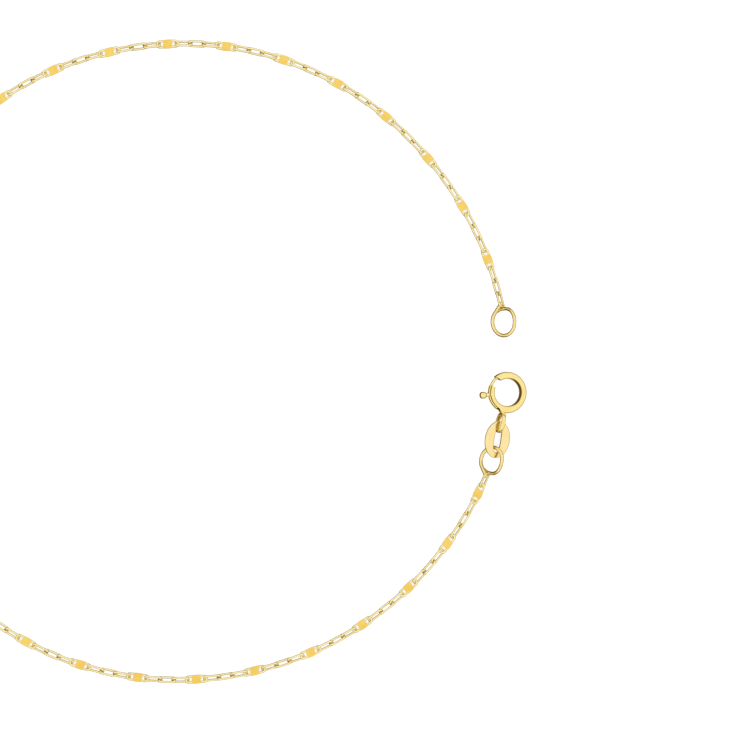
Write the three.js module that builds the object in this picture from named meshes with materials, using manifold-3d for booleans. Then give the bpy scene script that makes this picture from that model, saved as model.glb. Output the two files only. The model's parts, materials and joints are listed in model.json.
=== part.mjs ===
// A fine gold chain anklet, lying flat as one open loop. One end of the chain carries a spring-ring
// clasp on a flat tag link and a jump ring, and the other end carries the ring that the clasp hooks into.
// Units are millimetres, +Z is up, and the surface that the anklet lies on is z = 0.
import * as THREE from 'three';
import { mergeVertices } from 'three/addons/utils/BufferGeometryUtils.js';
import Module from 'manifold-3d';

const wasm = await Module();
wasm.setup();

// ---- Chain ----
const LOOP_RADIUS = 41.1;
// How far the chain lies outside the plain circle, one value every 20 degrees round from +X.
const ROUTE_STEP = 20;
const ROUTE_OFFSETS = [
  0.62, 0.25, -0.08, -0.08, -0.05, -0.05, 0.13, 0.2, 0.1,
  0.05, 0.13, 0.26, 0.26, -0.01, -0.25, -0.19, 0.08, 0.45,
];
const CHAIN_START = -20.9; // direction in which the chain leaves the jump ring
const CHAIN_END = -349.5; // direction in which it reaches the end ring, after going clockwise
const CHAIN_THICKNESS = 0.95;
const CHAIN_SIDES = 8;
const CHAIN_STEPS = 80;
const RAMP_LENGTH = 3; // stretch at each end that climbs from the surface to its ring
const END_GAP = 0.45; // from the middle of a ring's wire to the end of the chain's solid

// ---- Spring-ring clasp ----
const CLASP = { x: 41.63, y: -3.92, z: 1.2, tilt: 19 };
const CLASP_RADIUS = 2.2; // middle of the tube
const TUBE_RADIUS = 0.46;
const BORE_RADIUS = 0.36;
const GAP_TOP = { outer: 131.5, inner: 118 }; // degrees round the ring, slanted cut
const GAP_FOOT = { outer: 157, inner: 158.5 };
const SLOT = { from: 150, to: 248, halfHeight: 0.34 };

const EYE = { angle: 257.2, distance: 3.95, length: 2.7, height: 2.3, wall: 0.28, width: 0.55 };
const SOLDER = { distance: 2.72, radius: 0.32 };

// ---- The clasp's bolt ----
const BOLT = { radius: 2.32, wire: 0.185, tip: 123, tail: 233 };
const KNOB = { angle: 186, distance: 3.3, radius: 0.45, neck: 0.19 };

// ---- Flat oval tag link ----
const TAG = { x: 40.4, y: -9.97, z: 1.51, lean: -9, tilt: 22 };
const TAG_SIZE = { length: 4.76, width: 3.46, thickness: 0.36 };
const TAG_SLOT = { length: 3.25, width: 0.96 };

// ---- Wire rings, each with overlapping ends at the corner where the chain's link sits ----
const WIRE_RADIUS = 0.24;
const OVERLAP = 35; // degrees that the inner end runs on past the corner
const TUCK = 0.58; // how far the inner end is bent aside of the outer one
const TUCK_FADE = 110; // degrees over which the ring comes back to one plane
const JUMP_RING = { x: 39.64, y: -12.6, z: 1.42, heading: 252.2, tilt: 40, radius: 1.66, reach: 2.2, hand: 1 };
const END_RING = { x: 41.19, y: 5.11, z: 1.33, heading: 96.9, tilt: -38, radius: 1.72, reach: 2.42, hand: -1 };

const rad = THREE.MathUtils.degToRad;

// ---- Materials ----
function gold(color, roughness) {
  return new THREE.MeshStandardMaterial({ color, roughness, metalness: 1 });
}

const GOLD = {
  chain: gold(0xf0cc66, 0.25),
  clasp: gold(0xf7dc84, 0.15),
  tag: gold(0xfce2a0, 0.2),
  ring: gold(0xf2d27a, 0.15),
};

// ---- Solids ----
function toSolid(geometry) {
  const bare = geometry.clone();
  bare.deleteAttribute('normal');
  bare.deleteAttribute('uv');
  const merged = mergeVertices(bare, 1e-5);
  return new wasm.Manifold(new wasm.Mesh({
    numProp: 3,
    vertProperties: new Float32Array(merged.attributes.position.array),
    triVerts: new Uint32Array(merged.index.array),
  }));
}

function toGeometry(solid) {
  const mesh = solid.getMesh();
  const geometry = new THREE.BufferGeometry();
  geometry.setAttribute('position', new THREE.BufferAttribute(mesh.vertProperties, 3));
  geometry.setIndex(new THREE.BufferAttribute(mesh.triVerts, 1));
  geometry.computeVertexNormals();
  return geometry;
}

function onCircle(radius, degrees) {
  return new THREE.Vector2(radius * Math.cos(rad(degrees)), radius * Math.sin(rad(degrees)));
}

function polygonSection(radius, sides) {
  const points = [];
  for (let i = 0; i < sides; i += 1) {
    const angle = ((i + 0.5) / sides) * 2 * Math.PI;
    points.push(new THREE.Vector2(radius * Math.cos(angle), radius * Math.sin(angle)));
  }
  return new THREE.Shape(points);
}

function sweep(path, radius, sides, steps) {
  return new THREE.ExtrudeGeometry(polygonSection(radius, sides), { steps, extrudePath: path });
}

function centredPlate(shape, thickness, curveSegments) {
  const plate = new THREE.ExtrudeGeometry(shape, { depth: thickness, bevelEnabled: false, curveSegments });
  return plate.translate(0, 0, -thickness / 2);
}

// ---- Chain ----
function cubicThrough(a, b, c, d, t) {
  const slopeB = (c - a) / 2;
  const slopeC = (d - b) / 2;
  return (2 * t ** 3 - 3 * t ** 2 + 1) * b + (t ** 3 - 2 * t ** 2 + t) * slopeB
    + (3 * t ** 2 - 2 * t ** 3) * c + (t ** 3 - t ** 2) * slopeC;
}

function routeRadius(degrees) {
  const place = degrees / ROUTE_STEP;
  const first = Math.floor(place);
  const count = ROUTE_OFFSETS.length;
  const offset = (step) => ROUTE_OFFSETS[(((first + step) % count) + count) % count];
  return LOOP_RADIUS + cubicThrough(offset(-1), offset(0), offset(1), offset(2), place - first);
}

// The chain's middle line, which lies on the surface and climbs to a ring at each end.
class ChainRoute extends THREE.Curve {
  constructor(startHeight, endHeight) {
    super();
    this.startHeight = startHeight;
    this.endHeight = endHeight;
    const trim = THREE.MathUtils.radToDeg(END_GAP / LOOP_RADIUS);
    this.from = CHAIN_START - trim;
    this.to = CHAIN_END + trim;
  }

  getPoint(t, target = new THREE.Vector3()) {
    const degrees = THREE.MathUtils.lerp(this.from, this.to, t);
    const low = CHAIN_THICKNESS / 2;
    const fromStart = rad(CHAIN_START - degrees) * LOOP_RADIUS;
    const fromEnd = rad(degrees - CHAIN_END) * LOOP_RADIUS;
    const climb = (distance) => Math.max(0, 1 - distance / RAMP_LENGTH) ** 2;
    const plan = onCircle(routeRadius(degrees), degrees);
    const height = low + (this.startHeight - low) * climb(fromStart) + (this.endHeight - low) * climb(fromEnd);
    return target.set(plan.x, plan.y, height);
  }

  // Level frames keep one flat of the section facing straight down all the way round.
  computeFrenetFrames(segments) {
    const frames = { tangents: [], normals: [], binormals: [] };
    const up = new THREE.Vector3(0, 0, 1);
    for (let i = 0; i <= segments; i += 1) {
      const tangent = this.getTangentAt(i / segments);
      const normal = new THREE.Vector3().crossVectors(up, tangent).normalize();
      frames.tangents.push(tangent);
      frames.normals.push(normal);
      frames.binormals.push(new THREE.Vector3().crossVectors(tangent, normal));
    }
    return frames;
  }
}

function chainMesh() {
  const cornerRadius = CHAIN_THICKNESS / 2 / Math.cos(Math.PI / CHAIN_SIDES);
  const route = new ChainRoute(JUMP_RING.z, END_RING.z);
  return new THREE.Mesh(sweep(route, cornerRadius, CHAIN_SIDES, CHAIN_STEPS), GOLD.chain);
}

// ---- Clasp: all its pieces share one frame, with the ring's axis on Z ----
function gapCutter() {
  const inner = CLASP_RADIUS - 2 * TUBE_RADIUS;
  const outer = CLASP_RADIUS + 2 * TUBE_RADIUS;
  const outline = new THREE.Shape([
    onCircle(inner, GAP_TOP.inner),
    onCircle(outer, GAP_TOP.outer),
    onCircle(outer * 1.1, (GAP_TOP.outer + GAP_FOOT.outer) / 2),
    onCircle(outer, GAP_FOOT.outer),
    onCircle(inner, GAP_FOOT.inner),
  ]);
  return toSolid(centredPlate(outline, 4 * TUBE_RADIUS, 1));
}

function slotCutter() {
  const outline = new THREE.Shape();
  outline.absarc(0, 0, CLASP_RADIUS + 2 * TUBE_RADIUS, rad(SLOT.from), rad(SLOT.to), false);
  outline.absarc(0, 0, CLASP_RADIUS + 0.1, rad(SLOT.to), rad(SLOT.from), true);
  return toSolid(centredPlate(outline, 2 * SLOT.halfHeight, 16));
}

function eyeSolid() {
  const outline = new THREE.Shape();
  outline.absellipse(0, 0, EYE.length / 2, EYE.height / 2, 0, 2 * Math.PI);
  const hole = new THREE.Path();
  hole.absellipse(0, 0, EYE.length / 2 - EYE.wall, EYE.height / 2 - EYE.wall, 0, 2 * Math.PI);
  outline.holes.push(hole);
  const band = centredPlate(outline, EYE.width, 14);
  const outward = onCircle(1, EYE.angle);
  const radial = new THREE.Vector3(outward.x, outward.y, 0);
  const axis = new THREE.Vector3(0, 0, 1);
  const across = new THREE.Vector3().crossVectors(radial, axis);
  const place = new THREE.Matrix4().makeBasis(radial, axis, across);
  place.setPosition(radial.clone().multiplyScalar(EYE.distance));
  return toSolid(band.applyMatrix4(place));
}

function solderSolid() {
  const centre = onCircle(SOLDER.distance, EYE.angle);
  return toSolid(new THREE.SphereGeometry(SOLDER.radius, 12, 8).translate(centre.x, centre.y, 0));
}

function claspRingMesh() {
  const tube = toSolid(new THREE.TorusGeometry(CLASP_RADIUS, TUBE_RADIUS, 12, 48));
  const bore = toSolid(new THREE.TorusGeometry(CLASP_RADIUS, BORE_RADIUS, 10, 48));
  const body = tube.add(eyeSolid()).add(solderSolid());
  const hollow = body.subtract(bore).subtract(gapCutter()).subtract(slotCutter());
  return new THREE.Mesh(toGeometry(hollow), GOLD.clasp);
}

// An arc about Z, as a path for the bolt's wire.
class Arc extends THREE.Curve {
  constructor(radius, from, to) {
    super();
    Object.assign(this, { radius, from, to });
  }

  getPoint(t, target = new THREE.Vector3()) {
    const plan = onCircle(this.radius, THREE.MathUtils.lerp(this.from, this.to, t));
    return target.set(plan.x, plan.y, 0);
  }
}

function boltMesh() {
  const wire = toSolid(sweep(new Arc(BOLT.radius, BOLT.tip, BOLT.tail), BOLT.wire, 8, 22));
  const neckLength = KNOB.distance - BOLT.radius;
  const neckMiddle = onCircle(BOLT.radius + neckLength / 2, KNOB.angle);
  const neckShape = new THREE.CylinderGeometry(KNOB.neck, KNOB.neck, neckLength, 10);
  neckShape.rotateZ(rad(KNOB.angle - 90));
  const neck = toSolid(neckShape.translate(neckMiddle.x, neckMiddle.y, 0));
  const knobMiddle = onCircle(KNOB.distance, KNOB.angle);
  const knob = toSolid(new THREE.SphereGeometry(KNOB.radius, 16, 10).translate(knobMiddle.x, knobMiddle.y, 0));
  return new THREE.Mesh(toGeometry(wire.add(neck).add(knob)), GOLD.clasp);
}

// ---- Tag link ----
function tagMesh() {
  const outline = new THREE.Shape();
  outline.absellipse(0, 0, TAG_SIZE.width / 2, TAG_SIZE.length / 2, 0, 2 * Math.PI);
  const end = TAG_SLOT.width / 2;
  const straight = TAG_SLOT.length / 2 - end;
  const slot = new THREE.Path();
  slot.absarc(0, straight, end, 0, Math.PI, false);
  slot.absarc(0, -straight, end, Math.PI, 2 * Math.PI, false);
  slot.closePath();
  outline.holes.push(slot);
  return new THREE.Mesh(centredPlate(outline, TAG_SIZE.thickness, 16), GOLD.tag);
}

// ---- Wire rings: X points at the corner, and the ring lies about Z ----
class RingWire extends THREE.Curve {
  constructor(ring) {
    super();
    this.ring = ring;
  }

  getPoint(t, target = new THREE.Vector3()) {
    const { radius, reach, hand } = this.ring;
    const degrees = THREE.MathUtils.lerp(-OVERLAP, 360, t);
    const leave = 360 - THREE.MathUtils.radToDeg(Math.acos(radius / reach));
    const distance = degrees < leave ? radius : radius / Math.cos(rad(degrees - leave));
    const plan = onCircle(distance, degrees);
    const fade = THREE.MathUtils.smoothstep(TUCK_FADE - degrees, 0, TUCK_FADE);
    return target.set(plan.x, hand * plan.y, -TUCK * fade);
  }
}

function ringMesh(ring) {
  return new THREE.Mesh(sweep(new RingWire(ring), WIRE_RADIUS, 8, 48), GOLD.ring);
}

// ---- Assembly ----
function placed(mesh, name, place, heading, rollX, rollY) {
  mesh.name = name;
  mesh.position.set(place.x, place.y, place.z);
  mesh.rotation.set(rad(rollX), rad(rollY), rad(heading), 'ZYX');
  return mesh;
}

const anklet = new THREE.Group();
const origin = { x: 0, y: 0, z: 0 };
anklet.add(placed(chainMesh(), 'chain', origin, 0, 0, 0));
anklet.add(placed(claspRingMesh(), 'clasp_ring', CLASP, 0, 0, CLASP.tilt));
anklet.add(placed(boltMesh(), 'clasp_bolt', CLASP, 0, 0, CLASP.tilt));
anklet.add(placed(tagMesh(), 'tag_link', TAG, TAG.lean, 0, TAG.tilt));
anklet.add(placed(ringMesh(JUMP_RING), 'jump_ring', JUMP_RING, JUMP_RING.heading, JUMP_RING.tilt, 0));
anklet.add(placed(ringMesh(END_RING), 'end_ring', END_RING, END_RING.heading, END_RING.tilt, 0));

// The origin is the middle of the whole anklet's footprint, on the surface.
anklet.updateMatrixWorld(true);
const bounds = new THREE.Box3().setFromObject(anklet, true);
const middle = bounds.getCenter(new THREE.Vector3());
anklet.position.set(-middle.x, -middle.y, -bounds.min.z);

export default anklet;
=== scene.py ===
"""A gold chain anklet: fine cable links with mirror plates, closed by a spring ring clasp.

Lengths are millimetres and angles are degrees until a piece is made, when they become metres in the frame.
"""

import json
import math
import random

import bmesh
import bpy
from mathutils import Matrix, Vector


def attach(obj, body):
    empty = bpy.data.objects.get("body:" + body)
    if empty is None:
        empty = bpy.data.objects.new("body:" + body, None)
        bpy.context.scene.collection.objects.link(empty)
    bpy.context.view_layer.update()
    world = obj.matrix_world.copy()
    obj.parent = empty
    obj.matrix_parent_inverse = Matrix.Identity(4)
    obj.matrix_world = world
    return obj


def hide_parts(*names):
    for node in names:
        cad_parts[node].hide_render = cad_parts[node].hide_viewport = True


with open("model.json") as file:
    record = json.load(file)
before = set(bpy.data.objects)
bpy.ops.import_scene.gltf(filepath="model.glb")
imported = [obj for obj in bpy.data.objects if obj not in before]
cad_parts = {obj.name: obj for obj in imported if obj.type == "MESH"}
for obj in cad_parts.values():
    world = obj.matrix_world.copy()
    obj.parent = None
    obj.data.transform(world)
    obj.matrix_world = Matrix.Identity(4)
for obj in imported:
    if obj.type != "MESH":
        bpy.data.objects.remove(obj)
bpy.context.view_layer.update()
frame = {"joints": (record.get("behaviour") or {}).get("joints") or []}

MM = 0.001
UP = Vector((0, 0, 1))

# ---- Places repeated from the part's source, about the middle of the loop ----
LOOP_RADIUS = 41.1
ROUTE_STEP = 20
ROUTE_OFFSETS = [
    0.62, 0.25, -0.08, -0.08, -0.05, -0.05, 0.13, 0.2, 0.1,
    0.05, 0.13, 0.26, 0.26, -0.01, -0.25, -0.19, 0.08, 0.45,
]
RAMP_LENGTH = 3
CLASP = {"x": 41.63, "y": -3.92, "z": 1.2, "tilt": 19}
CLASP_RADIUS = 2.2
TUBE_RADIUS = 0.46
TUBE_WALL = 0.1
GAP_TOP = {"outer": 131.5, "inner": 118}
GAP_FOOT = {"outer": 157, "inner": 158.5}
SLOT_END = 248
EYE = {"angle": 257.2, "distance": 3.95, "length": 2.7, "height": 2.3, "wall": 0.28, "width": 0.55}
BOLT = {"radius": 2.32, "wire": 0.185, "tip": 123, "tail": 233}
KNOB = {"angle": 186, "distance": 3.3, "radius": 0.45, "neck": 0.19}
TAG = {"x": 40.4, "y": -9.97, "z": 1.51, "lean": -9, "tilt": 22}
TAG_SIZE = {"length": 4.76, "width": 3.46, "thickness": 0.36}
TAG_SLOT = {"length": 3.25, "width": 0.96}
WIRE_RADIUS = 0.24
OVERLAP = 35
TUCK = 0.58
TUCK_FADE = 110
JUMP_RING = {
    "x": 39.64, "y": -12.6, "z": 1.42, "heading": 252.2,
    "tilt": 40, "radius": 1.66, "reach": 2.2, "hand": 1,
}
END_RING = {
    "x": 41.19, "y": 5.11, "z": 1.33, "heading": 96.9,
    "tilt": -38, "radius": 1.72, "reach": 2.42, "hand": -1,
}

# ---- Fine shape that only this script has ----
LINK_WIRE = 0.29
LINK_WIDTH = 0.76  # between the middles of a link's two side wires
LINK_CORNER = 0.3
LINK_SLACK = 0.01
LINK_HEIGHT = 0.44  # of the chain's middle line, so that its tilted links touch the surface
LINK_TURN = 45
PLATE_TURN = 7
LINKS_BETWEEN_PLATES = 3
PLATE_COUNT = 31
PLATE_RATIO = 1.348  # a plate's inner length over a link's
PLATE_HALF_WIDTH = 0.58
PLATE_SEAM = -0.06  # the hammered wires run into each other a little
PLATE_THICKNESS = 0.12
PLATE_SKEW = 0.1
PLATE_FLAT = (0.45, 0.72)  # from the middle, where it starts to round off and where it is wire again
PLATE_OPENING = (0.44, 0.66)
PLATE_SHOULDER = (0.22, 0.68)
PLATE_BRIGHT = 0.62  # the hammered part reaches this far from the middle, and past it is drawn wire
LIPS = {"upper": 80, "lower": 56}  # the slot's edges, from the tube's outermost line
LIP_BEVEL = 11  # how much further the upper lip reaches inside the wall than outside it
SLOT_ROUND = 10
LEAN = {"share": 0.5, "towards": 7}  # how far the inner wall leans in below, on the side away from the slot
SHEAR_FADE = 30
ROUTE_FADE = 12
END_SPREAD = 0.15  # how far the tucked end of a wire ring swings out, under the other end
END_RISE = 0.04  # how far its tip comes back up, which keeps it off the surface
UNEVEN_SEED = 4
UNEVEN_TURN = {"link": 4, "plate": 3}  # each is turned up to this much more or less
NECK = {"width": 1.3, "flare": 0.2, "into_knob": 0.6, "steps": 8}  # its sizes are shares of the knob's own
KNOB_ARC = (0.02, 0.98)  # the shares of a half turn that shape the knob, which has small flat ends
COLLAR = [  # distance from the ring's middle, half width and half height
    (2.565, 0.38, 0.33), (2.62, 0.36, 0.36), (2.67, 0.33, 0.37), (2.73, 0.29, 0.38), (2.80, 0.26, 0.40),
]
TAG_SLOT_RUN = 1.6  # how soon round the slot its straight sides end

# How square a section is: an ellipse is 2, and more is squarer.
ELLIPSE = 2
SQUARENESS = {"plate": 3.2, "tube": 3.0, "eye": 3.5, "collar": 2.4, "knob": 2.5}

# ---- Meshes, finish and stage ----
WELD = 0.0005  # points nearer than this become one
SHARP_EDGE = 50
SIDE_ON = 0.999  # a direction past this points straight out from a link's long side
SHUT_SEAM = 0.000001  # a seam narrower than this has no edges to close
DRIFT = {"scale": 700, "detail": 3, "low": 0.35, "high": 0.6}  # of the gold's tone
HAIRLINES = {"scale": 2600, "detail": 4, "stretch": 3.5, "strength": 0.03, "depth": 0.00003}
BLUR = (0.7, 1.35)  # the least and the most roughness, as shares of a finish's own
FLOOR = {"half": 3, "base": 0.4, "roughness": 0.9, "glow": 0.72}
ROOM_DARK = (0.11, 0.07, 0.02, 1)
ROOM_WARM = (0.45, 0.39, 0.24, 1)
ROOM_ACROSS = (-0.35, 0.3)  # the X direction, from the dark side to the warm side
TENT_WHITE = (1, 0.99, 0.97, 1)
TENT_EDGE = (-0.12, 0.28)  # the Z direction, from the room to the tent
KEY = {"place": (0.22, 0, 0.7), "size": 0.9, "power": 2.45}
CAMERA = {"x": 0.02341, "y": -0.00171, "distance": 0.35, "frame_width": 0.09675, "sensor": 36}

joint = frame["joints"][0]
LOOP_CENTRE = Vector(joint["pos_m"]) / MM - Vector((CLASP["x"], CLASP["y"], CLASP["z"]))


# ---- Numbers ----
def lerp(a, b, share):
    return a + (b - a) * share


def smoothstep(value, low, high):
    share = min(1.0, max(0.0, (value - low) / (high - low)))
    return share * share * (3 - 2 * share)


def on_circle(radius, degrees):
    return Vector((radius * math.cos(math.radians(degrees)), radius * math.sin(math.radians(degrees)), 0))


def signed_power(value, power):
    return math.copysign(abs(value) ** power, value)


def superellipse(half_x, half_y, power, angle):
    """A point of a rounded box section: power 2 is an ellipse, and more is squarer."""
    x = half_x * signed_power(math.cos(angle), 2 / power)
    y = half_y * signed_power(math.sin(angle), 2 / power)
    return x, y


# ---- Meshes ----
def placed(place, heading=0, roll_x=0, roll_y=0):
    """The matrix from a piece's own millimetres to metres in the frame."""
    turn = (
        Matrix.Rotation(math.radians(heading), 4, "Z")
        @ Matrix.Rotation(math.radians(roll_y), 4, "Y")
        @ Matrix.Rotation(math.radians(roll_x), 4, "X")
    )
    middle = LOOP_CENTRE + Vector((place["x"], place["y"], place["z"]))
    return Matrix.Scale(MM, 4) @ Matrix.Translation(middle) @ turn


def skin(rings, closed):
    """A surface through rings of points; an open one is capped at both ends."""
    sides = len(rings[0])
    points = [point for ring in rings for point in ring]
    faces = []
    for i in range(len(rings) if closed else len(rings) - 1):
        here = i * sides
        there = (i + 1) % len(rings) * sides
        for j in range(sides):
            k = (j + 1) % sides
            faces.append((here + j, here + k, there + k, there + j))
    if not closed:
        last = (len(rings) - 1) * sides
        faces.append(tuple(reversed(range(sides))))
        faces.append(tuple(range(last, last + sides)))
    return points, faces


def joined(shapes):
    """Several (points, faces) as one."""
    points = []
    faces = []
    for shape_points, shape_faces in shapes:
        start = len(points)
        points.extend(shape_points)
        faces.extend(tuple(start + corner for corner in face) for face in shape_faces)
    return points, faces


def moved(shape, matrix):
    return [matrix @ point for point in shape[0]], shape[1]


def make_piece(name, shape, matrix, second=()):
    """A mesh object; second lists the faces that take the piece's second material: the plates' drawn wire
    ends, or the painted shade on the inner wall of the clasp's tube.
    """
    mesh = bpy.data.meshes.new(name)
    points = [matrix @ point for point in shape[0]]
    mesh.from_pydata(points, [], shape[1])
    for number in second:
        mesh.polygons[number].material_index = 1
    piece = bpy.data.objects.new(name, mesh)
    bpy.context.scene.collection.objects.link(piece)
    face_outward(mesh)
    mesh.shade_smooth()
    mesh.set_sharp_from_angle(angle=math.radians(SHARP_EDGE))
    return piece


def face_outward(mesh):
    work = bmesh.new()
    work.from_mesh(mesh)
    bmesh.ops.remove_doubles(work, verts=work.verts, dist=WELD * MM)
    bmesh.ops.recalc_face_normals(work, faces=work.faces)
    work.to_mesh(mesh)
    work.free()


def tube(path, radii, sides):
    """A round wire along open points; radii gives its radius at each of them."""
    rings = []
    for i, middle in enumerate(path):
        along = (path[min(i + 1, len(path) - 1)] - path[max(i - 1, 0)]).normalized()
        side = along.cross(UP).normalized()
        top = side.cross(along)
        ring = []
        for j in range(sides):
            angle = 2 * math.pi * j / sides
            ring.append(middle + radii[i] * (math.cos(angle) * side + math.sin(angle) * top))
        rings.append(ring)
    return skin(rings, closed=False)


def rounded_ends(path, radius, steps=6):
    """Adds points at both ends of a path, with radii that close the wire in a soft dome."""
    first = (path[0] - path[1]).normalized()
    last = (path[-1] - path[-2]).normalized()
    angles = [math.pi / 2 * (i + 1) / (steps + 0.5) for i in range(steps)]
    before = [path[0] + first * radius * math.sin(angle) for angle in reversed(angles)]
    after = [path[-1] + last * radius * math.sin(angle) for angle in angles]
    tips = [radius * math.cos(angle) for angle in angles]
    return before + path + after, tips[::-1] + [radius] * len(path) + tips


# ---- The chain's route ----
def cubic_through(a, b, c, d, t):
    slope_b = (c - a) / 2
    slope_c = (d - b) / 2
    return (
        (2 * t**3 - 3 * t**2 + 1) * b
        + (t**3 - 2 * t**2 + t) * slope_b
        + (3 * t**2 - 2 * t**3) * c
        + (t**3 - t**2) * slope_c
    )


def route_radius(degrees):
    place = degrees / ROUTE_STEP
    first = math.floor(place)
    near = [ROUTE_OFFSETS[(first + step) % len(ROUTE_OFFSETS)] for step in (-1, 0, 1, 2)]
    return LOOP_RADIUS + cubic_through(*near, place - first)


def corner_of(ring):
    """Where a ring's wire turns its corner, which the chain hangs on."""
    return Vector((ring["x"], ring["y"], 0)) + on_circle(ring["reach"], ring["heading"])


def chain_route():
    """Points of the chain's middle line and the length up to each, clockwise between the two corners."""
    start, end = corner_of(JUMP_RING), corner_of(END_RING)
    start_angle = math.degrees(math.atan2(start.y, start.x))
    end_angle = math.degrees(math.atan2(end.y, end.x)) - 360
    start_shift = start.length - route_radius(start_angle)
    end_shift = end.length - route_radius(end_angle)
    beyond = 2
    steps = 3400
    points = []
    for i in range(steps + 1):
        degrees = lerp(start_angle + beyond, end_angle - beyond, i / steps)
        from_start = math.radians(start_angle - degrees) * LOOP_RADIUS
        from_end = math.radians(degrees - end_angle) * LOOP_RADIUS
        radius = route_radius(degrees)
        radius += start_shift * (1 - smoothstep(from_start, 0, ROUTE_FADE))
        radius += end_shift * (1 - smoothstep(from_end, 0, ROUTE_FADE))
        point = on_circle(radius, degrees)
        point.z = LINK_HEIGHT
        point.z += (JUMP_RING["z"] - LINK_HEIGHT) * max(0, 1 - from_start / RAMP_LENGTH) ** 2
        point.z += (END_RING["z"] - LINK_HEIGHT) * max(0, 1 - from_end / RAMP_LENGTH) ** 2
        points.append(point)
    lengths = [0.0]
    for i in range(steps):
        lengths.append(lengths[-1] + (points[i + 1] - points[i]).length)
    corner_share = beyond / (start_angle - end_angle + 2 * beyond)
    first = lengths[round(corner_share * steps)]
    last = lengths[round((1 - corner_share) * steps)]
    return points, lengths, first, last


def point_at(points, lengths, length):
    low, high = 0, len(lengths) - 1
    while high - low > 1:
        middle = (low + high) // 2
        if lengths[middle] <= length:
            low = middle
        else:
            high = middle
    share = (length - lengths[low]) / (lengths[high] - lengths[low])
    return points[low].lerp(points[high], share)


# ---- Links ----
def link_outline(length, width, corner, side_steps, corner_steps):
    """Points and outward directions round a link's middle line, in the plane of X and Y."""
    outline = []
    half_x, half_y = length / 2 - corner, width / 2 - corner
    for quarter, (sign_x, sign_y) in enumerate([(1, 1), (-1, 1), (-1, -1), (1, -1)]):
        middle = Vector((sign_x * half_x, sign_y * half_y, 0))
        for i in range(corner_steps + 1):
            out = on_circle(1, 90 * (quarter + i / corner_steps))
            outline.append((middle + corner * out, out))
        if quarter % 2 == 0:
            out = Vector((0, sign_y, 0))
            for i in range(1, side_steps):
                x = lerp(sign_x * half_x, -sign_x * half_x, i / side_steps)
                outline.append((Vector((x, sign_y * width / 2, 0)), out))
    return outline


def wire_link(inner_length):
    """A plain link of round wire."""
    sides = 12
    length = inner_length + LINK_WIRE + LINK_SLACK
    rings = []
    for middle, out in link_outline(length, LINK_WIDTH, LINK_CORNER, side_steps=4, corner_steps=6):
        ring = []
        for j in range(sides):
            angle = 2 * math.pi * j / sides
            ring.append(middle + LINK_WIRE / 2 * (math.cos(angle) * out + Vector((0, 0, math.sin(angle)))))
        rings.append(ring)
    return skin(rings, closed=True)


def plate_link(inner_length):
    """A link whose two side wires are hammered into lens-shaped lobes that meet along the middle."""
    sides = 18
    length = inner_length + LINK_WIRE + LINK_SLACK
    rings = []
    for middle, out in link_outline(length, LINK_WIDTH, LINK_CORNER, side_steps=30, corner_steps=6):
        from_middle = abs(middle.x)
        flat = 1 - smoothstep(from_middle, *PLATE_FLAT)
        half_width = LINK_WIRE / 2
        centre = middle.copy()
        if abs(out.y) > SIDE_ON:
            opened = smoothstep(from_middle, *PLATE_OPENING)
            narrowed = smoothstep(from_middle, *PLATE_SHOULDER)
            inner = lerp(PLATE_SEAM, (LINK_WIDTH - LINK_WIRE) / 2, opened)
            outer = lerp(PLATE_HALF_WIDTH, (LINK_WIDTH + LINK_WIRE) / 2, narrowed)
            half_width = (outer - inner) / 2
            centre.y = math.copysign((outer + inner) / 2, middle.y)
            centre.x += flat * PLATE_SKEW * math.copysign(1, middle.y)
        half_height = lerp(LINK_WIRE / 2, PLATE_THICKNESS / 2, flat)
        squareness = lerp(ELLIPSE, SQUARENESS["plate"], flat)
        ring = []
        for j in range(sides):
            across, height = superellipse(half_width, half_height, squareness, 2 * math.pi * j / sides)
            ring.append(centre + across * out + Vector((0, 0, height)))
        rings.append(ring)
    return skin(rings, closed=True)


def link_frame(start, end, turn):
    """The frame of a link between two points of the route: X along it, Y outward and turned about X."""
    along = (end - start).normalized()
    outward = Vector((start.x + end.x, start.y + end.y, 0))
    outward = (outward - outward.dot(along) * along).normalized()
    up = along.cross(outward)
    side = math.cos(math.radians(turn)) * outward + math.sin(math.radians(turn)) * up
    normal = along.cross(side)
    basis = Matrix((along, side, normal)).transposed().to_4x4()
    return Matrix.Translation((start + end) / 2) @ basis


def chain_shapes():
    """All the wire links as one shape, and all the plates as another."""
    points, lengths, first, last = chain_route()
    kinds = ["link"]
    for _ in range(PLATE_COUNT):
        kinds += ["plate"] + ["link"] * LINKS_BETWEEN_PLATES
    whole = last - first + 2 * WIRE_RADIUS
    link_length = whole / (kinds.count("link") + PLATE_RATIO * PLATE_COUNT)
    plate_length = PLATE_RATIO * link_length
    link, plate = wire_link(link_length), plate_link(plate_length)
    uneven = random.Random(UNEVEN_SEED)
    links, plates = [], []
    here = first - WIRE_RADIUS
    for number, kind in enumerate(kinds):
        there = here + (plate_length if kind == "plate" else link_length)
        start, end = point_at(points, lengths, here), point_at(points, lengths, there)
        chance = uneven.uniform(-UNEVEN_TURN[kind], UNEVEN_TURN[kind])
        if kind == "plate":
            turn = PLATE_TURN + chance
            plates.append(moved(plate, link_frame(start, end, turn)))
        else:
            turn = (LINK_TURN if number % 2 else -LINK_TURN) + chance
            links.append(moved(link, link_frame(start, end, turn)))
        here = there
    ends = [
        number for number, face in enumerate(plate[1])
        if abs(sum(plate[0][corner].x for corner in face)) / len(face) > PLATE_BRIGHT
    ]
    plate_ends = [copy * len(plate[1]) + number for copy in range(PLATE_COUNT) for number in ends]
    return joined(links), joined(plates), plate_ends


# ---- Clasp ----
def slot_opening(degrees):
    """How open the slot is at a place on the ring, from 1 to nothing past its round end."""
    into_round = (degrees - (SLOT_END - SLOT_ROUND)) / SLOT_ROUND
    return math.sqrt(max(0, 1 - max(0, into_round) ** 2))


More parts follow.
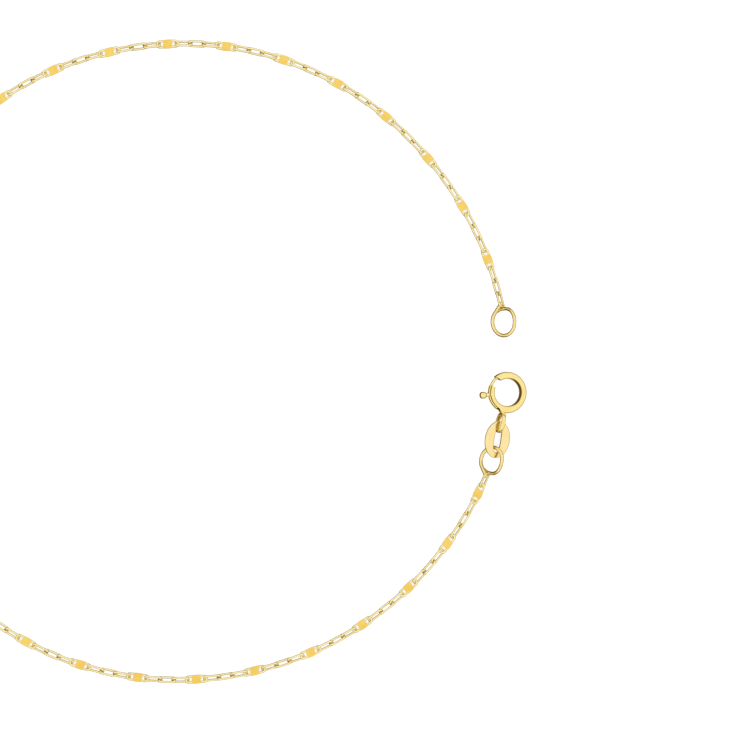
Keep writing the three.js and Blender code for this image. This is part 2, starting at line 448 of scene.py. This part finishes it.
def clasp_tube():
    """The bent tube as a thin wall, open along its slot and at both sides of the gap."""
    steps, columns = 300, 56
    foot_middle = (GAP_FOOT["outer"] + GAP_FOOT["inner"]) / 2
    top_middle = 360 + (GAP_TOP["outer"] + GAP_TOP["inner"]) / 2
    outside, inside = [], []
    for i in range(steps + 1):
        base = lerp(foot_middle, top_middle, i / steps)
        foot_share = max(0, 1 - (base - foot_middle) / SHEAR_FADE)
        top_share = max(0, 1 - (top_middle - base) / SHEAR_FADE)
        opening = slot_opening(base)
        lean = LEAN["share"] * max(0, math.cos(math.radians(base - LEAN["towards"])))
        for wall, rings in ((0, outside), (TUBE_WALL, inside)):
            ring = []
            for j in range(columns + 1):
                upper = LIPS["upper"] - (LIP_BEVEL if wall else 0)
                phi = math.radians(lerp(opening * upper, 360 - opening * LIPS["lower"], j / columns))
                inward = (1 - math.cos(phi)) / 2
                degrees = base
                degrees += foot_share * (lerp(GAP_FOOT["outer"], GAP_FOOT["inner"], inward) - foot_middle)
                degrees += top_share * (360 + lerp(GAP_TOP["outer"], GAP_TOP["inner"], inward) - top_middle)
                reach = TUBE_RADIUS - wall
                x, z = superellipse(reach, reach, SQUARENESS["tube"], phi)
                if x < 0:
                    x *= 1 - lean * (1 + z / reach) / 2
                point = on_circle(CLASP_RADIUS + x, degrees)
                point.z = z
                ring.append(point)
            rings.append(ring)
    return walled(outside, inside, columns)


def walled(outside, inside, columns):
    """Two strips of points as one wall, with its edges closed."""
    rows = len(outside)
    wide = columns + 1
    points = [point for ring in outside for point in ring]
    shift = len(points)
    points += [point for ring in inside for point in ring]
    faces = []
    for i in range(rows - 1):
        for j in range(columns):
            a, b = i * wide + j, (i + 1) * wide + j
            faces.append((a, a + 1, b + 1, b))
            faces.append((shift + b, shift + b + 1, shift + a + 1, shift + a))
        seam = sum((row[0] - row[-1]).length for row in (outside[i], outside[i + 1]))
        if seam > SHUT_SEAM:
            for j in (0, columns):
                a, b = i * wide + j, (i + 1) * wide + j
                faces.append((a, b, shift + b, shift + a))
    for i in (0, rows - 1):
        for j in range(columns):
            a = i * wide + j
            faces.append((a, a + 1, shift + a + 1, shift + a))
    return points, faces


def clasp_eye():
    """The band that holds the tag, standing across the ring."""
    steps, sides = 72, 20
    outward = on_circle(1, EYE["angle"])
    across = outward.cross(UP)
    half_length = (EYE["length"] - EYE["wall"]) / 2
    half_height = (EYE["height"] - EYE["wall"]) / 2
    rings = []
    for i in range(steps):
        angle = 2 * math.pi * i / steps
        cos, sin = math.cos(angle), math.sin(angle)
        middle = outward * (EYE["distance"] + half_length * cos) + UP * half_height * sin
        out = (outward * cos * half_height + UP * sin * half_length).normalized()
        ring = []
        for j in range(sides):
            turn = 2 * math.pi * j / sides
            x, y = superellipse(EYE["wall"] / 2, EYE["width"] / 2, SQUARENESS["eye"], turn)
            ring.append(middle + x * out + y * across)
        rings.append(ring)
    return skin(rings, closed=True)


def solder_collar():
    """The fillet of solder that joins the eye to the tube."""
    sides = 24
    outward = on_circle(1, EYE["angle"])
    across = outward.cross(UP)
    rings = []
    for distance, half_width, half_height in COLLAR:
        ring = []
        for j in range(sides):
            turn = 2 * math.pi * j / sides
            x, y = superellipse(half_width, half_height, SQUARENESS["collar"], turn)
            ring.append(outward * distance + across * x + UP * y)
        rings.append(ring)
    return skin(rings, closed=False)


def bolt_shape():
    """The bent wire that closes the gap, with the knob that a fingernail draws back."""
    steps, wire_sides, knob_steps, knob_sides = 60, 18, 28, 36
    arc = [on_circle(BOLT["radius"], lerp(BOLT["tip"], BOLT["tail"], i / steps)) for i in range(steps + 1)]
    wire = tube(*rounded_ends(arc, BOLT["wire"]), wire_sides)
    outward = on_circle(1, KNOB["angle"])
    neck_reach = KNOB["distance"] - NECK["into_knob"] * KNOB["radius"]
    shares = [i / NECK["steps"] for i in range(NECK["steps"] + 1)]
    neck_path = [outward * lerp(BOLT["radius"], neck_reach, share) for share in shares]
    neck_radii = [KNOB["neck"] * (NECK["width"] + NECK["flare"] * share**2) for share in shares]
    neck = tube(neck_path, neck_radii, wire_sides)
    knob_path, knob_radii = [], []
    for i in range(knob_steps + 1):
        angle = math.pi * lerp(*KNOB_ARC, i / knob_steps)
        along, around = superellipse(KNOB["radius"], KNOB["radius"], SQUARENESS["knob"], angle)
        knob_path.append(outward * (KNOB["distance"] - along))
        knob_radii.append(around)
    knob = tube(knob_path, knob_radii, knob_sides)
    return joined([wire, neck, knob])


# ---- Tag ----
def tag_shape():
    """The stamped oval, with its long slot, softened edges and a slightly domed face."""
    steps = 128
    half_x, half_y = TAG_SIZE["width"] / 2, TAG_SIZE["length"] / 2
    slot_x, slot_y = TAG_SLOT["width"] / 2, TAG_SLOT["length"] / 2
    half_z = TAG_SIZE["thickness"] / 2
    profile = [  # share of the way from slot to rim, and share of the half thickness
        (0, -0.55), (0, 0.55), (0.035, 0.86), (0.10, 1.0), (0.3, 1.0), (0.6, 0.99),
        (0.85, 0.93), (0.95, 0.8), (1.0, 0.5), (1.0, -0.5), (0.95, -0.8), (0.85, -0.93),
        (0.6, -0.99), (0.3, -1.0), (0.10, -1.0), (0.035, -0.86),
    ]
    rings = []
    for i in range(steps):
        angle = 2 * math.pi * i / steps
        rim = Vector((half_x * math.cos(angle), half_y * math.sin(angle), 0))
        straight = slot_y - slot_x
        slot = Vector((slot_x * math.cos(angle), slot_x * math.sin(angle), 0))
        slot.y += straight * max(-1, min(1, TAG_SLOT_RUN * math.sin(angle)))
        rings.append([slot.lerp(rim, share) + Vector((0, 0, half_z * height)) for share, height in profile])
    return skin(rings, closed=True)


# ---- Wire rings ----
def ring_shape(ring):
    """A wire bent round until its ends pass each other at the corner."""
    steps, sides = 170, 20
    leave = 360 - math.degrees(math.acos(ring["radius"] / ring["reach"]))
    path = []
    for i in range(steps + 1):
        degrees = lerp(-OVERLAP, 360, i / steps)
        distance = ring["radius"]
        if degrees >= leave:
            distance = ring["radius"] / math.cos(math.radians(degrees - leave))
        swung = smoothstep(-degrees, 0, OVERLAP)
        distance += END_SPREAD * swung
        point = on_circle(distance, degrees)
        tucked = smoothstep(TUCK_FADE - degrees, 0, TUCK_FADE)
        path.append(Vector((point.x, ring["hand"] * point.y, END_RISE * swung**2 - TUCK * tucked)))
    wire, radii = rounded_ends(path, WIRE_RADIUS, steps=4)
    return tube(wire, radii, sides)


# ---- Materials ----
def linear(red, green, blue):
    """A colour given as on a screen, from 0 to 255, as the shader wants it."""
    return tuple((value / 255) ** 2.2 for value in (red, green, blue)) + (1,)


def gold(name, colour, deep, roughness):
    """Polished gold: its tone drifts a little, and fine hairlines blur and bend what it mirrors."""
    material = bpy.data.materials.new(name)
    material.use_nodes = True
    nodes, links = material.node_tree.nodes, material.node_tree.links
    shader = nodes["Principled BSDF"]
    shader.inputs["Metallic"].default_value = 1
    place = nodes.new("ShaderNodeTexCoord")
    drift = nodes.new("ShaderNodeTexNoise")
    drift.inputs["Scale"].default_value = DRIFT["scale"]
    drift.inputs["Detail"].default_value = DRIFT["detail"]
    tone = nodes.new("ShaderNodeValToRGB")
    tone.color_ramp.elements[0].position = DRIFT["low"]
    tone.color_ramp.elements[0].color = linear(*deep)
    tone.color_ramp.elements[1].position = DRIFT["high"]
    tone.color_ramp.elements[1].color = linear(*colour)
    hairlines = nodes.new("ShaderNodeTexNoise")
    hairlines.inputs["Scale"].default_value = HAIRLINES["scale"]
    hairlines.inputs["Detail"].default_value = HAIRLINES["detail"]
    stretch = nodes.new("ShaderNodeMapping")
    stretch.inputs["Scale"].default_value = (1, HAIRLINES["stretch"], 1)
    blur = nodes.new("ShaderNodeMapRange")
    blur.inputs["To Min"].default_value = roughness * BLUR[0]
    blur.inputs["To Max"].default_value = roughness * BLUR[1]
    bump = nodes.new("ShaderNodeBump")
    bump.inputs["Strength"].default_value = HAIRLINES["strength"]
    bump.inputs["Distance"].default_value = HAIRLINES["depth"]
    links.new(place.outputs["Object"], drift.inputs["Vector"])
    links.new(place.outputs["Object"], stretch.inputs["Vector"])
    links.new(stretch.outputs["Vector"], hairlines.inputs["Vector"])
    links.new(drift.outputs["Fac"], tone.inputs["Fac"])
    links.new(tone.outputs["Color"], shader.inputs["Base Color"])
    links.new(hairlines.outputs["Fac"], blur.inputs["Value"])
    links.new(blur.outputs["Result"], shader.inputs["Roughness"])
    links.new(hairlines.outputs["Fac"], bump.inputs["Height"])
    links.new(bump.outputs["Normal"], shader.inputs["Normal"])
    return material


LINK_GOLD = gold("link_gold", (253, 239, 184), (248, 230, 164), 0.16)
# Painted shade: the plates are the same gold, given a deeper orange for the dimmer reflection that their
# hammered faces catch
PLATE_PAINTED_SHADE_GOLD = gold("plate_gold", (248, 212, 110), (242, 202, 98), 0.16)
CLASP_GOLD = gold("clasp_gold", (253, 233, 158), (249, 226, 146), 0.12)
# Painted shade: a dark, rougher copy of the clasp gold for the tube's inner wall, where shadow falls inside
# the hollow tube
INSIDE_PAINTED_SHADE = gold("inside_painted_shade", (122, 88, 30), (96, 66, 20), 0.4)
TAG_GOLD = gold("tag_gold", (254, 231, 168), (252, 226, 158), 0.16)
RING_GOLD = gold("ring_gold", (251, 230, 158), (244, 218, 140), 0.12)


# ---- Pieces ----
def finish_piece(piece, materials, slot, body, *nodes):
    """Gives a piece its finishes and its body, and hides the CAD nodes that it replaces; slot is not used.
    """
    for material in materials:
        piece.data.materials.append(material)
    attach(piece, body)
    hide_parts(*nodes)


LOOP = placed({"x": 0, "y": 0, "z": 0})
CLASP_PLACE = placed(CLASP, roll_y=CLASP["tilt"])
links_shape, plates_shape, plate_ends = chain_shapes()
chain_links = make_piece("chain_links", links_shape, LOOP)
finish_piece(chain_links, [LINK_GOLD], "chain_gold", "anklet", "chain")
chain_plates = make_piece("chain_plates", plates_shape, LOOP, plate_ends)
# The plates' hammered faces take the gold with painted shade, and their drawn wire ends the link gold
finish_piece(chain_plates, [PLATE_PAINTED_SHADE_GOLD, LINK_GOLD], "plate_gold", "anklet", "chain")
tube_shape = clasp_tube()
first_inside = len(tube_shape[0]) // 2
# The faces of the tube's inner wall, which take the painted shade
shaded_tube_inside = [number for number, face in enumerate(tube_shape[1]) if min(face) >= first_inside]
clasp_shape = joined([tube_shape, clasp_eye(), solder_collar()])
spring_ring = make_piece("spring_ring", clasp_shape, CLASP_PLACE, shaded_tube_inside)
finish_piece(spring_ring, [CLASP_GOLD, INSIDE_PAINTED_SHADE], "clasp_gold", "anklet", "clasp_ring")
spring_bolt = make_piece("spring_bolt", bolt_shape(), CLASP_PLACE)
finish_piece(spring_bolt, [CLASP_GOLD], "clasp_gold", "bolt", "clasp_bolt")
oval_tag = make_piece("oval_tag", tag_shape(), placed(TAG, TAG["lean"], roll_y=TAG["tilt"]))
finish_piece(oval_tag, [TAG_GOLD], "tag_gold", "anklet", "tag_link")
for ring_name, ring, node in (("start_ring", JUMP_RING, "jump_ring"), ("far_ring", END_RING, "end_ring")):
    ring_place = placed(ring, ring["heading"], roll_x=ring["tilt"])
    wire_ring = make_piece(ring_name, ring_shape(ring), ring_place)
    finish_piece(wire_ring, [RING_GOLD], "ring_gold", "anklet", node)


# ---- Stage ----
def floor():
    material = bpy.data.materials.new("floor_white")
    material.use_nodes = True
    shader = material.node_tree.nodes["Principled BSDF"]
    shader.inputs["Base Color"].default_value = (FLOOR["base"], FLOOR["base"], FLOOR["base"], 1)
    shader.inputs["Roughness"].default_value = FLOOR["roughness"]
    shader.inputs["Emission Color"].default_value = (1, 1, 1, 1)
    shader.inputs["Emission Strength"].default_value = FLOOR["glow"]
    half = FLOOR["half"]
    corners = [(-half, -half, 0), (half, -half, 0), (half, half, 0), (-half, half, 0)]
    mesh = bpy.data.meshes.new("floor")
    mesh.from_pydata(corners, [], [(0, 1, 2, 3)])
    plane = bpy.data.objects.new("floor", mesh)
    mesh.materials.append(material)
    bpy.context.scene.collection.objects.link(plane)
    plane.visible_glossy = False


def softbox(name, place, size, power):
    """A square soft light above the floor, aimed at the loop's middle and unseen in reflections."""
    light = bpy.data.lights.new(name, "AREA")
    light.size = size
    light.energy = power
    lamp = bpy.data.objects.new(name, light)
    lamp.location = place
    lamp.rotation_euler = (-Vector(place)).to_track_quat("-Z", "Y").to_euler()
    lamp.visible_glossy = False
    bpy.context.scene.collection.objects.link(lamp)


def ramp(nodes, links, source, low, high):
    """A smooth step from 0 to 1 as the source rises from low to high."""
    node = nodes.new("ShaderNodeMapRange")
    node.interpolation_type = "SMOOTHSTEP"
    node.inputs["From Min"].default_value = low
    node.inputs["From Max"].default_value = high
    links.new(source, node.inputs["Value"])
    return node.outputs["Result"]


def studio():
    """A white tent overhead, a warm dark room below it that is darkest on the left, and the key light."""
    world = bpy.data.worlds.new("studio")
    world.use_nodes = True
    nodes, links = world.node_tree.nodes, world.node_tree.links
    place = nodes.new("ShaderNodeTexCoord")
    parts = nodes.new("ShaderNodeSeparateXYZ")
    links.new(place.outputs["Generated"], parts.inputs["Vector"])
    below = nodes.new("ShaderNodeMix")
    below.data_type = "RGBA"
    below.inputs["A"].default_value = ROOM_DARK
    below.inputs["B"].default_value = ROOM_WARM
    links.new(ramp(nodes, links, parts.outputs["X"], *ROOM_ACROSS), below.inputs["Factor"])
    whole = nodes.new("ShaderNodeMix")
    whole.data_type = "RGBA"
    whole.inputs["B"].default_value = TENT_WHITE
    links.new(ramp(nodes, links, parts.outputs["Z"], *TENT_EDGE), whole.inputs["Factor"])
    links.new(below.outputs["Result"], whole.inputs["A"])
    links.new(whole.outputs["Result"], nodes["Background"].inputs["Color"])
    bpy.context.scene.world = world
    softbox("key", KEY["place"], KEY["size"], KEY["power"])


def camera():
    """Straight above the right half of the loop, as the picture is framed."""
    data = bpy.data.cameras.new("camera")
    data.sensor_width = CAMERA["sensor"]
    data.lens = CAMERA["sensor"] * CAMERA["distance"] / CAMERA["frame_width"]
    data.clip_start = 0.01
    eye = bpy.data.objects.new("camera", data)
    eye.location = (CAMERA["x"], CAMERA["y"], CAMERA["distance"])
    bpy.context.scene.collection.objects.link(eye)
    bpy.context.scene.camera = eye


floor()
studio()
camera()
bpy.context.scene.view_settings.view_transform = "Standard"
